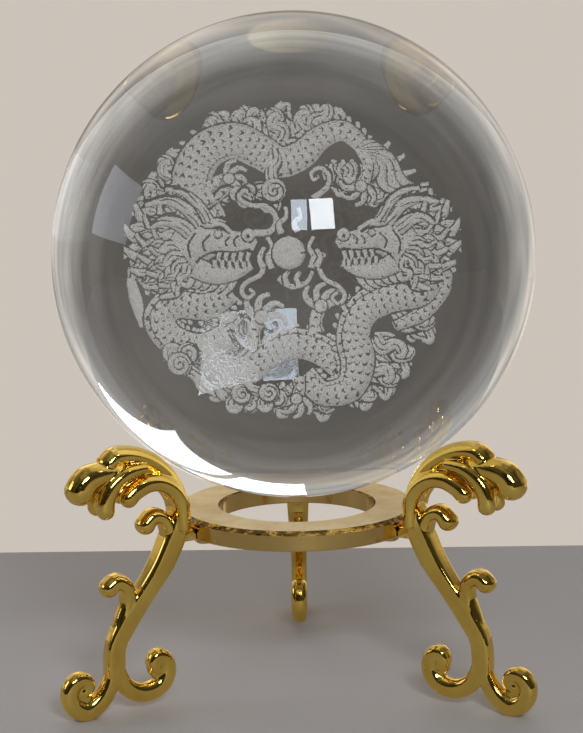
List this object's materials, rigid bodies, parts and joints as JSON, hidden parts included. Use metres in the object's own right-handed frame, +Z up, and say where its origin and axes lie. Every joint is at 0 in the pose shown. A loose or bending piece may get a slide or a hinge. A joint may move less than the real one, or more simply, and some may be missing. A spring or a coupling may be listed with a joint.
{
  "type": "crystal ball on tripod stand",
  "caption": "Clear glass sphere with an internal engraved roundel, resting loose on the scrolled legs of a gold ring stand.",
  "frame": {"origin": "on the floor under the three feet, on the upright axis shared by the ball and the ring", "axes": "+Z up along the ball's and the ring's axis; +X to the right and -Y to the front, with the single leg at the rear (+Y)"},
  "size_m": [0.1, 0.1051, 0.1412],
  "materials": {
    "clear_glass": "polished",
    "laser_engraving": "frosted",
    "satin_gold": "satin",
    "polished_gold": "polished",
    "screw_gold": "polished"
  },
  "bodies": {
    "stand": {"seat_ring": "satin_gold", "leg_left": "polished_gold", "leg_right": "polished_gold", "leg_rear": "polished_gold", "screw_left": "screw_gold", "screw_right": "screw_gold", "screw_rear": "screw_gold"},
    "ball": {"crystal_ball": "clear_glass"}
  },
  "joints": [
    {"name": "ball_lift", "type": "slide", "parent": "stand", "child": "ball", "axis": [0, 0, 1], "range_m": [0, 0.1]}
  ]
}
